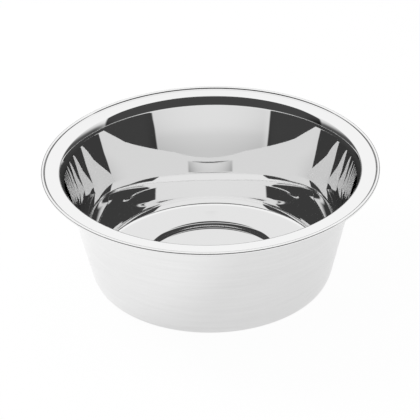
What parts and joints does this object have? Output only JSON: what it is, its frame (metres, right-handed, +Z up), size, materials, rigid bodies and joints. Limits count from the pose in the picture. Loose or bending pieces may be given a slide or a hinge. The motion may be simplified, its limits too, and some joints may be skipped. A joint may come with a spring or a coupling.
{
  "type": "pet feeding bowl",
  "caption": "Round polished steel feeding bowl with leaning walls, a flat flange with a small rolled bead and a stamped raised floor.",
  "frame": {"origin": "centre of the foot ring, on the table", "axes": "+Z up along the bowl's axis; the bowl is round, so X and Y are any two directions across it"},
  "size_m": [0.2124, 0.2124, 0.0776],
  "materials": {
    "polished_steel": "mirror polished stainless steel sheet with faint turned polishing lines"
  },
  "bodies": {
    "root": {"bowl_shell": "polished_steel"}
  },
  "joints": []
}
